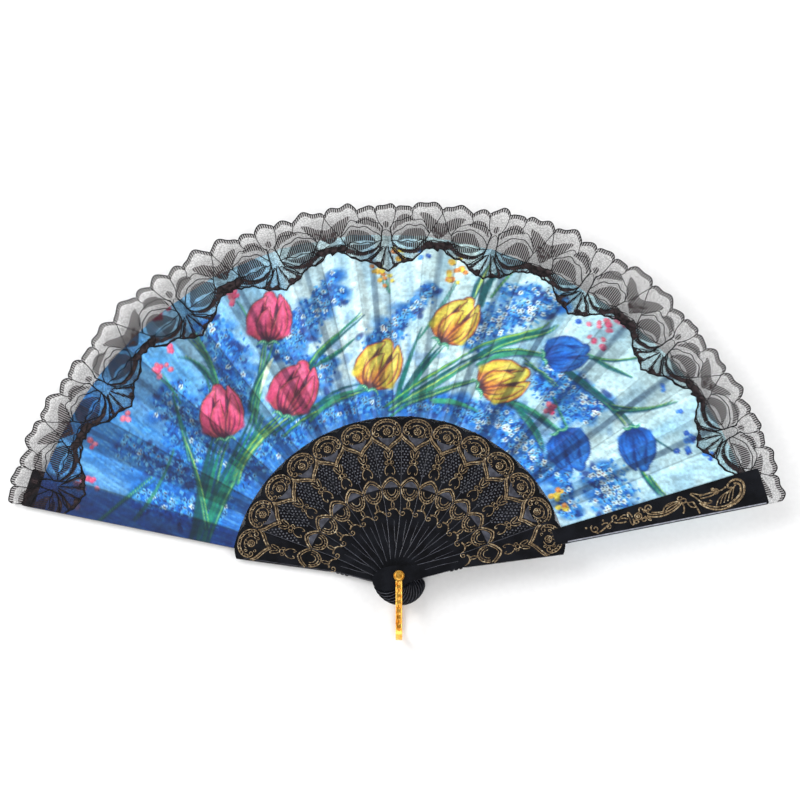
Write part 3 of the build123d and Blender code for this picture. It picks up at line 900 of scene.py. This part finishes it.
def cordRuns():
    # every thread as a dense line of (angle, r), cut where the cloth folds
    lines = []
    step = 0.2
    for edge in (outerEdge, innerEdge):
        inset = -0.15 if edge is outerEdge else 0.2
        sweep = np.arange(facetSpan(0)[0] - 0.02, facetSpan(2 * lastStick)[1], -step)
        lines.append((np.array([(a, edge(a) + inset) for a in sweep]), 1.25))
    bows = lace["bows"]
    for bow in range(1, len(bows) - 1):
        for path, thick in cordPaths():
            line = bend(path, 22)
            half = np.where(line[:, 0] < 0, bows[bow - 1] - bows[bow], bows[bow] - bows[bow + 1]) / 2
            angle = bows[bow] - line[:, 0] / lace["half"] * half
            tremble = 0.5 * np.sin(line[:, 0] * 0.8 + 2.1 * bow) * min(1, bow % 3 + 0.4)
            rise = line[:, 1] + tremble
            r = lace["radius"] + np.where(rise > 0, rise * (1 + pulled(angle) / lace["top"]), rise)
            r = np.minimum(r, [outerEdge(a) - 0.3 for a in angle])
            r = np.maximum(r, [innerEdge(a) + 0.3 for a in angle])
            lines.append((np.stack([angle, r], 1), thick))
    cut = {i: [] for i in range(facetCount)}
    for line, thick in lines:
        for i in cut:
            left, right = facetSpan(i)
            run = []
            for (a0, r0), (a1, r1) in zip(line, line[1:]):
                low, high = sorted([(left - a0) / (a1 - a0 or 1e-9), (right - a0) / (a1 - a0 or 1e-9)])
                low, high = max(low, 0), min(high, 1)
                if low < high:
                    run.append((a0 + (a1 - a0) * low, r0 + (r1 - r0) * low))
                    last = (a0 + (a1 - a0) * high, r0 + (r1 - r0) * high)
                elif run:
                    cut[i].append((run + [last], thick))
                    run = []
            if run:
                cut[i].append((run + [last], thick))
    return cut


def buildCords():
    pieces = {}
    for i, runs in cordRuns().items():
        left, right = facetSpan(i)
        wired = []
        for run, thick in runs:
            run = [p for n, p in enumerate(run)
                   if n == 0 or abs(p[0] - run[n - 1][0]) + abs(p[1] - run[n - 1][1]) > 0.01]
            if len(run) < 2:
                continue
            places = []
            for angle, r in run:
                height = clothHeight(i, np.clip((left - angle) / (left - right), 0, 1), r) + lace["lift"] + 0.12
                places.append((r * math.cos(math.radians(angle)), r * math.sin(math.radians(angle)), height))
            wired.append((places, [lace["cord"] * thick] * len(places)))
        pieces[i] = wires(facetName("cord", i), wired, (laceCord,), sides=0)
    return pieces


lacePieces = buildLace()
cordPieces = buildCords()
for piece, spots, i in lacePieces:
    for held in (piece, cordPieces[i]):
        holdFacet(held, i)
    if i % 2 == 0:
        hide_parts(f"lace_panel_{i // 2:02d}")
print("lace worked:", len(lacePieces), "pieces")


carving = {
    "line": 0.28,  # mm, half width of a gilded line
    "depth": 0.5,  # how flat the lines are, as a share of their width
    "bead": 0.62,  # mm, radius of a bead
    "beadStep": 1.85,
    "ribThick": 0.5,  # mm, the heads' thickness in the model
    "guardThick": 1.15,
}


def arc(cx, cy, rx, ry, start, end, count=14):
    # part of an ellipse; 0 degrees points out along the stick and 90 to its left
    turns = np.radians(np.linspace(start, end, count))
    return np.stack([cx + rx * np.cos(turns), cy + ry * np.sin(turns)], 1)


def spiral(cx, cy, radius, start, sweep, inner=0.15, count=16):
    t = np.linspace(0, 1, count)
    reach = radius * (1 - (1 - inner) * t)
    turn = np.radians(start + sweep * t)
    return np.stack([cx + reach * np.cos(turn), cy + reach * np.sin(turn)], 1)


def mirrored(lines):
    return [(line * (1, side), width) for line, width in lines for side in (1, -1)]


def curve(width, count, *points):
    # a line of the relief: its width in shares of carving["line"], and its points
    return bend(points, count), width


def oval(width, count, cx, cy, rx, ry):
    return arc(cx, cy, rx, ry, 0, 360, count), width


def gildedLines():
    # the gilded relief of one stick, in mm along and across it
    both = mirrored([
        (spiral(84.9, 5.7, 2.0, 20, 420), 0.9), curve(1.75, 10, (84.2, 8.8), (80.6, 8.0), (80.0, 2.2), (75.6, 0)),
        curve(1.0, 10, (82.8, 9.1), (79.2, 8.0), (78.4, 2.4), (74.2, 0)),
        curve(0.85, 12, (70.6, 0.3), (75.6, 1.0), (76.4, 3.6), (71.0, 1.9)),
        curve(0.8, 5, (71.0, 1.9), (70.0, 1.2), (69.4, 0.6)), oval(0.7, 9, 67.6, 1.7, 1.0, 0.7),
        curve(0.9, 10, (66.4, 0.5), (65.2, 2.8), (62.0, 3.6), (60.2, 1.9)),
        curve(0.7, 5, (60.2, 1.9), (60.8, 1.0), (61.6, 1.3)), curve(1.6, 7, (53.2, 5.6), (58.0, 3.0), (58.9, 0)),
        curve(0.9, 7, (52.2, 4.9), (56.4, 2.6), (57.2, 0)), curve(0.7, 6, (88.6, 0.6), (90.4, 2.4), (88.0, 3.2)),
        oval(0.7, 8, 88.0, 4.6, 0.9, 0.6), curve(0.6, 7, (92.6, 1.0), (91.8, 3.4), (90.0, 5.4)),
        (arc(83.0, 3.6, 0.7, 0.7, 0, 300, 7), 0.7), curve(0.8, 6, (44.8, 0.2), (43.2, 1.3), (41.4, 0.5)),
    ])
    plain = [
        (arc(86.6, 0, 6.9, 8.2, -106, 106, 26), 1.1), (arc(86.6, 0, 5.4, 6.7, -100, 100, 22), 0.8),
        (arc(86.4, 0, 3.5, 4.1, -170, 40, 16), 0.85), oval(1.0, 15, 86.0, 0, 1.9, 1.9),
        oval(0.9, 11, 68.2, 0, 1.2, 1.2), (arc(52.2, 0, 6.9, 4.9, 95, 265, 18), 1.1),
        (arc(52.2, 0, 5.4, 3.7, 95, 265, 16), 0.75), (arc(52.0, 0, 3.6, 2.4, 95, 265, 12), 0.8),
        curve(0.9, 6, (41.4, 0.4), (40.4, 1.0), (40.2, 2.6)), (spiral(37.6, 2.6, 1.9, 60, 430), 0.9),
        curve(0.95, 10, (39.6, 2.4), (41.4, 0.0), (40.4, -2.4), (37.0, -3.4)),
        curve(0.7, 5, (41.4, -0.4), (40.2, -1.6), (39.4, -2.6)),
    ]
    for turn in range(-96, 97, 16):
        # cross bars between the two lines of the arch
        rim = np.radians([turn - 3, turn + 3])
        plain.append((np.array([(86.6 + 5.5 * math.cos(rim[0]), 6.8 * math.sin(rim[0])),
                                (86.6 + 6.8 * math.cos(rim[1]), 8.1 * math.sin(rim[1]))]), 0.6))
    for turn in range(0, 360, 60):
        way = np.array([math.cos(math.radians(turn)), math.sin(math.radians(turn))])
        plain.append((np.array([(86.0, 0) + way * 0.4, (86.0, 0) + way * 1.6]), 0.9))
    for turn in range(110, 260, 20):
        rim = math.radians(turn)
        plain.append((np.array([(52.2 + 5.5 * math.cos(rim), 3.8 * math.sin(rim)),
                                (52.2 + 6.8 * math.cos(rim), 4.8 * math.sin(rim))]), 0.55))
    return both + plain


def beadPlaces():
    # rows of beads either side of the bow, below the V and above the roof
    places = []
    x = 60.4
    row = 0
    while x < 81:
        edge = x * math.tan(math.radians(6.1)) - 1.0
        y = edge - (row % 2) * carving["beadStep"] * 0.5
        while y > 2.9:
            if x < 72.4 + 0.98 * y and x > 61.8 - 0.95 * (y - 3):
                places += [(x, y), (x, -y)]
            y -= carving["beadStep"]
        x += carving["beadStep"] * 0.9
        row += 1
    return places


def buildGilding(name, lines, thick, material):
    runs = []
    for line, width in lines:
        places = [(x, y, 0.06) for x, y in line]
        runs.append((places, [thick * width] * len(places)))
    return wires(name, runs, (material,), sides=0, flatten=carving["depth"])


# the beads take the grey plastic: painted highlights standing in for light caught on their black domes
def buildBeads(name):
    bm = bmesh.new()
    for x, y in beadPlaces():
        made = bmesh.ops.create_icosphere(bm, subdivisions=1, radius=carving["bead"])
        bmesh.ops.scale(bm, vec=(1, 1, 0.5), verts=made["verts"])
        bmesh.ops.translate(bm, vec=(x, y, 0.02), verts=made["verts"])
    bmesh.ops.scale(bm, vec=(mm, mm, mm), verts=bm.verts)
    return finishMesh(name, bm, (reflectionPaintedPlastic,))


def buildFacets(name):
    # two flat facets, their grey a painted reflection of light on polished plastic: the V under the arch and the
    # gable over the cup
    bm = bmesh.new()
    for corners in ([(83.6, 5.4), (82.2, 2.4), (82.0, -2.4), (83.6, -5.4), (80.6, -3.6), (77.6, 0), (80.6, 3.6)],
                    [(52.9, 3.9), (52.9, -3.9), (54.9, -2.7), (56.3, -0.6), (56.3, 0.6), (54.9, 2.7)]):
        face = bm.faces.new([bm.verts.new((x, y, -0.02)) for x, y in corners])
        top = bmesh.ops.extrude_face_region(bm, geom=[face])["geom"]
        verts = [v for v in top if isinstance(v, bmesh.types.BMVert)]
        bmesh.ops.translate(bm, vec=(0, 0, 0.16), verts=verts)
    bmesh.ops.recalc_face_normals(bm, faces=bm.faces)
    edges = [e for e in bm.edges if all(v.co.z > 0.1 for v in e.verts)]
    bmesh.ops.bevel(bm, geom=edges, offset=0.12, offset_type="OFFSET", segments=2, profile=0.5, affect="EDGES",
                    material=-1)
    bmesh.ops.scale(bm, vec=(mm, mm, mm), verts=bm.verts)
    return finishMesh(name, bm, (reflectionPaintedPlastic,), smooth=False)


def guardScroll():
    # the gilded plant scroll along the front guard's arm, from the leaf's foot to its tip
    lines = [
        oval(1.0, 7, 108, 0.8, 0.3, 0.3), oval(0.9, 7, 118.4, 2.6, 0.3, 0.5),
        (spiral(112.8, -0.8, 2.6, 120, 420), 1.0),
        curve(1.05, 12, (112.4, -3.4), (116, -3.8), (119, -1), (123.6, 1.2)),
        (spiral(120.4, -1.6, 1.5, 60, -380), 0.9), (spiral(125.4, 2.6, 2.0, -140, -330), 1.0),
        curve(0.9, 6, (117, 0.4), (119, 1.6), (120.6, 0.6)), curve(1.0, 8, (124, 0.2), (127, -1.4), (131, -1.2)),
        curve(0.9, 8, (126, 0.6), (129, 2.2), (132, 0.2)), curve(0.8, 6, (128, 1.8), (130, 3.4), (131.6, 2.6)),
        curve(1.1, 10, (133.0, 0), (131.6, 4.6), (134.2, 4.8), (134.8, 0.6)),
        curve(1.1, 10, (133.2, 0), (132.6, -4.6), (135.4, -5.2), (135, -0.6)), oval(1.05, 15, 138.2, 0.2, 1.9, 2.0),
        oval(1.1, 9, 138.2, 0.2, 0.8, 0.8), oval(0.9, 9, 136.4, -2.6, 1.2, 1.0),
        oval(0.9, 9, 140.8, -2.4, 1.2, 1.0), curve(1.1, 10, (139.6, 2.2), (139.0, 5.6), (142.2, 5.4), (142.0, 1.4)),
        curve(1.1, 10, (141.8, -0.6), (143.4, -5.2), (146.4, -4.4), (143.0, -0.8)),
        (spiral(145.2, 3.2, 2.5, -150, -400), 1.1), (spiral(144.0, 1.4, 1.0, 90, 330), 0.9),
        curve(1.15, 16, (143.0, -0.8), (149, -4.2), (157, -3.6), (164, 1.6)),
        curve(1.0, 16, (143.6, 0.4), (149.4, -2.4), (156, -2.2), (163, 2.2)),
        curve(0.8, 8, (146, 0.6), (150, -0.8), (154, -0.6)),
        curve(1.1, 12, (152.4, -1.2), (153.4, 3.2), (157.6, 3.6), (163.4, 2.8)),
        curve(0.9, 10, (154.0, -0.6), (156.4, 1.8), (160, 1.6), (163, 2.4)),
        curve(0.8, 7, (153.6, 2.0), (156, 1.4), (158.6, 2.8)), oval(1.1, 9, 163.6, 4.4, 1.3, 1.0),
        oval(1.1, 11, 165.2, 2.6, 1.7, 1.3), curve(1.15, 8, (164, 2.2), (165.4, -2.4), (163.0, -4.4)),
        curve(1.0, 9, (166, 2.2), (168.2, -0.6), (168.6, 1.6), (170.6, 0.4)),
        curve(0.9, 8, (167, 0.6), (168.4, -3), (171.4, -2.6)),
        curve(1.25, 8, (170.4, 0.4), (171.4, -2.4), (172.2, -6.8)),
        curve(1.15, 10, (170.0, 5.4), (171.6, 3.6), (174.2, 0.4), (176.2, -2.8)),
        curve(1.0, 9, (170.2, 5.6), (172.4, 5.6), (173.6, 3.6), (176.8, 3.4)),
    ]
    # the plume: a double band round its tip, an upper branch with a flower, and flutes inside
    lines += [
        curve(1.3, 16, (173.6, -0.8), (178, -7.4), (186, -8.8), (192, -6.2)),
        curve(1.9, 18, (192, -6.2), (203, -3.0), (203.5, 8.6), (195.4, 7.2)),
        curve(1.0, 14, (175.6, -1.6), (180, -5.8), (186, -7.0), (191, -4.8)),
        curve(1.6, 16, (191, -4.8), (200.4, -2.4), (200.6, 6.0), (195.6, 5.4)),
        curve(1.5, 10, (188, -6.6), (197, -5.6), (199.6, -1.0)),
        curve(1.4, 12, (195.4, 7.2), (190.6, 6.0), (191.0, 2.8), (194.0, 3.4)),
        curve(1.1, 9, (174.6, 3.0), (178, 3.4), (181, 3.2), (184, 3.6)),
        curve(1.0, 9, (174.8, 1.6), (179, 0.8), (183, 2.0)), curve(1.1, 8, (186, 3.2), (188.6, 3.2), (190.8, 4.6)),
        curve(1.2, 10, (176, -1.0), (179, -3.4), (182.4, -2.0), (179.4, -0.6)), oval(1.4, 11, 184.4, 3.4, 1.6, 1.3),
        oval(1.4, 7, 184.4, 3.4, 0.6, 0.5), oval(1.2, 7, 183.0, 5.0, 0.7, 0.6),
    ]
    for n in range(5):
        foot = 182.4 + 2.3 * n
        lines.append(curve(0.75, 10, (foot, -4.6 + 0.3 * n), (foot + 1.6, -2.2), (foot + 2.4, 0.6 + 0.7 * n),
                           (193.6 + 0.8 * n, 2.0 + 0.6 * n)))
    return lines


def buildRims(name, withTail):
    # raised rims along the flank and round the tail, on the sides that show, and a rib down the neck, all in grey
    # as painted highlights along those edges; the front guard has none round its tail, where the ring lies
    flank = [(11.5, 3.7), (20, 3.75), (28, 3.7), (36, 3.9), (42, 4.3), (60, 6.2), (76, 7.9), (88, 9.15)]
    vein = [(15, 0), (24, 0.4), (34, 0)]
    tail = [(-14.6, -1.2), (-13.2, -3.9), (-10.2, -5.7), (-6.6, -6.4), (-2.6, -6.2)]
    runs = [([(x, y, 0.0) for x, y in flank], [0.16, 0.2, 0.2, 0.2, 0.14, 0.16, 0.16, 0.1]),
            ([(x, y, 0.0) for x, y in vein], [0.1, 0.2, 0.1])]
    if withTail:
        runs.append(([(x, y, 0.0) for x, y in tail], [0.1, 0.2, 0.22, 0.2, 0.1]))
    return wires(name, runs, (reflectionPaintedPlastic,), sides=0)


def buildArmEdgeHighlight(name):
    # a light grey wire along the outer side of the front guard's arm: a painted highlight where its edge catches
    # the light
    slant = math.tan(math.radians(fan["gluedHalf"]))
    edge = [(x, 0.75 - x * slant, 0.0) for x in range(96, 211, 6)]
    return wires(name, [(edge, [0.5] * len(edge))], (highlightPaintedEdgePlastic,), sides=0)


relief = {
    "rail": 1.45,  # mm from the ring's middle line to its beaded edges
    "bosses": 8,  # rosettes and leaves share the ring's length evenly
    "petal": 0.95,  # mm
}


def buildRingRelief():
    # the stamped chain along the ring: rosettes and leaves by turns, between two beaded edges
    low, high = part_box("ring")
    top = high.z / mm
    step = -low.y / mm / relief["bosses"]
    runs = []
    for side in (-1, 1):
        rail = [(side * relief["rail"], -3.2 - n, top) for n in range(int(-low.y / mm) - 6)]
        runs.append((rail, [0.26 + 0.1 * (n % 2) for n in range(len(rail))]))
    for n in range(1, relief["bosses"]):
        y = -n * step
        if n % 2:
            for turn in range(0, 360, 60):
                a = math.radians(turn + 30)
                petal = [(reach * math.cos(a), y + reach * math.sin(a), top) for reach in (0.25, relief["petal"])]
                runs.append((petal, [0.2, 0.4]))
        else:
            for side in (-1, 1):
                blade = bend([(0, y + 1.6), (side * 1.3, y + 0.8), (side * 0.9, y - 0.9), (0, y - 1.6)], 8)
                runs.append(([(x, yy, top) for x, yy in blade], [0.16, 0.3, 0.42, 0.46, 0.42, 0.34, 0.24, 0.14]))
    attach(wires("ringRelief", runs, (giltBrass,)), "ring")


def copyAlong(source, name, k, top):
    piece = bpy.data.objects.new(name, source.data.copy())
    bpy.context.scene.collection.objects.link(piece)
    piece.data.transform(Matrix.Translation((0, 0, top)) @ Matrix.Rotation(math.radians(stickAngles[k]), 4, "Z"))
    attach(piece, stickNames[k])
    return piece


def carveSticks():
    gold = buildGilding("gilding", gildedLines(), carving["line"], wornGiltWithPaintedGlints)
    beads = buildBeads("beads")
    facets = buildFacets("facets")
    rims = buildRims("rims", True)
    guardRims = buildRims("guardRims", False)
    scroll = buildGilding("scroll", guardScroll(), carving["line"] * 1.4, wornGiltWithPaintedGlints)
    armEdgeHighlight = buildArmEdgeHighlight("edge")
    for k in range(fan["sticks"]):
        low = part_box(stickNames[k])[0].z
        top = low + (carving["ribThick"] if 0 < k < lastStick else carving["guardThick"]) * mm
        copyAlong(gold, f"gilding_{k:02d}", k, top)
        copyAlong(rims if k < lastStick else guardRims, f"rims_{k:02d}", k, top)
        if 0 < k < lastStick:
            copyAlong(beads, f"beads_{k:02d}", k, top)
            copyAlong(facets, f"facets_{k:02d}", k, top)
    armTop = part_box("front_guard")[1].z
    copyAlong(scroll, "gildedScroll", lastStick, armTop)
    copyAlong(armEdgeHighlight, "armEdgeHighlight", lastStick, armTop - 0.12 * mm)
    for source in (gold, beads, facets, rims, guardRims, scroll, armEdgeHighlight):
        bpy.data.objects.remove(source)


carveSticks()
buildRingRelief()
for name, node in nodes.items():
    for starts, material in ((("rib_", "back_guard", "front_guard"), blackPlastic), (("ring", "rivet"), giltBrass)):
        if name.startswith(starts):
            node.data.materials.clear()
            node.data.materials.append(material)
print("sticks carved")


studio = {
    "elevation": 72,  # degrees above the table, looking along +Y
    "lens": 85,
    "width": 0.460,  # metres across the picture at the fan
    "target": (0.0006, 0.105, 0.008),
    # lamps: place, size in metres, watts
    "lamps": {"key": ((-1.1, 0.5, 0.95), 0.8, 13), "fill": ((1.2, -0.2, 0.9), 1.3, 8),
              "front": ((-0.2, -1.2, 0.9), 1.3, 8)},
}


def buildStudio():
    camera = bpy.data.cameras.new("camera")
    camera.lens = studio["lens"]
    camera.clip_start = 0.01
    view = bpy.data.objects.new("camera", camera)
    bpy.context.scene.collection.objects.link(view)
    far = studio["width"] * camera.lens / camera.sensor_width
    rise = math.radians(studio["elevation"])
    view.location = Vector(studio["target"]) + far * Vector((0, -math.cos(rise), math.sin(rise)))
    view.rotation_euler = (math.radians(90 - studio["elevation"]), 0, 0)
    bpy.context.scene.camera = view
    bm = bmesh.new()
    bmesh.ops.create_grid(bm, x_segments=2, y_segments=2, size=4)
    material, tree, shader, place = newMaterial("whitePaper")
    grain = addRamp(tree, addNoise(tree, place, 3), (0.3, "#f4f4f4"), (0.7, "#f8f8f8"))
    setSockets(tree, shader, Base_Color=grain, Roughness=0.9)
    floor = finishMesh("floor", bm, (material,))
    floor.data.transform(Matrix.Translation((0, 0, -0.0003)))
    for name, (place, size, power) in studio["lamps"].items():
        light = bpy.data.lights.new(name, "AREA")
        light.energy = power
        light.size = size
        lamp = bpy.data.objects.new(name, light)
        lamp.location = place
        lamp.rotation_euler = (Vector((0, 0.1, 0)) - Vector(place)).to_track_quat("-Z", "Y").to_euler()
        bpy.context.scene.collection.objects.link(lamp)
    # a white tent, open overhead so that the black plastic has something dark to reflect
    world = bpy.data.worlds.new("studio")
    world.use_nodes = True
    tree = world.node_tree
    way = addNode(tree, "TexCoord").outputs["Generated"]
    up = addNode(tree, "SeparateXYZ", i0=way).outputs["Z"]
    tent = addRamp(tree, up, (0.0, (1, 1, 1)), (0.62, (1, 1, 1)), (0.86, (0.16, 0.16, 0.17)))
    setSockets(tree, tree.nodes["Background"], Color=tent, Strength=1.0)
    bpy.context.scene.world = world
    bpy.context.scene.view_settings.view_transform = "Standard"


buildStudio()
